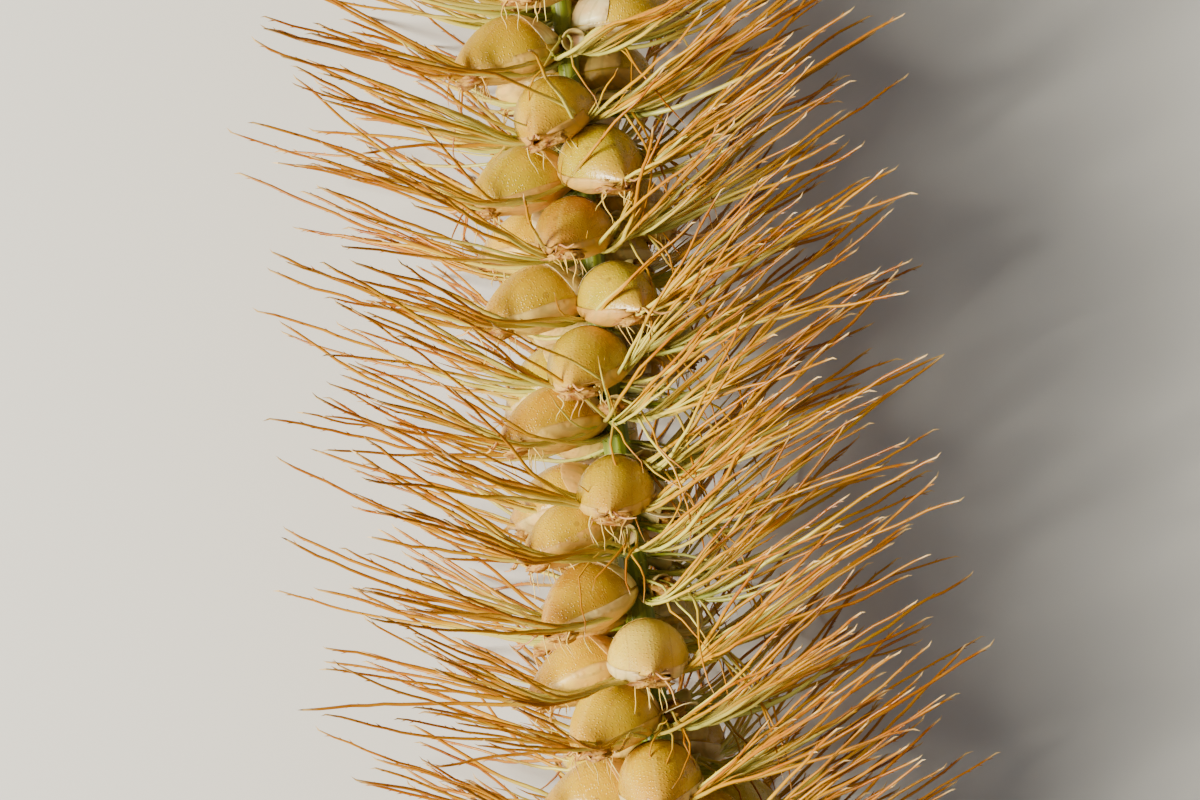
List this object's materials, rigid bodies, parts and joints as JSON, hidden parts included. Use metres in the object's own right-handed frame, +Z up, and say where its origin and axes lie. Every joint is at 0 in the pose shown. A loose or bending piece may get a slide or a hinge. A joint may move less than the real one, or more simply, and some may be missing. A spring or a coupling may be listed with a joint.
{
  "type": "grass seed head",
  "caption": "Ripe bristle-grass seed head, cut with a length of its stem and laid down: a spiral of plump domed spikelets on a thin rachis, each with a fan of long stiff bristles.",
  "frame": {"origin": "on the surface it lies on, under the middle of the whole piece's bounding box", "axes": "+Y along the head from the stem towards the tip, +Z up from the surface, +X to the right when seen from above with the tip at the top"},
  "size_m": [0.0181, 0.0676, 0.0153],
  "materials": {
    "ripe_gold": "satin husks from yellow-green to tan, bristles from pale green at the root to orange-brown",
    "stem_green": "satin, finely ribbed green stem"
  },
  "bodies": {
    "root": {"seed_head": "ripe_gold", "stem": "stem_green"}
  },
  "joints": []
}
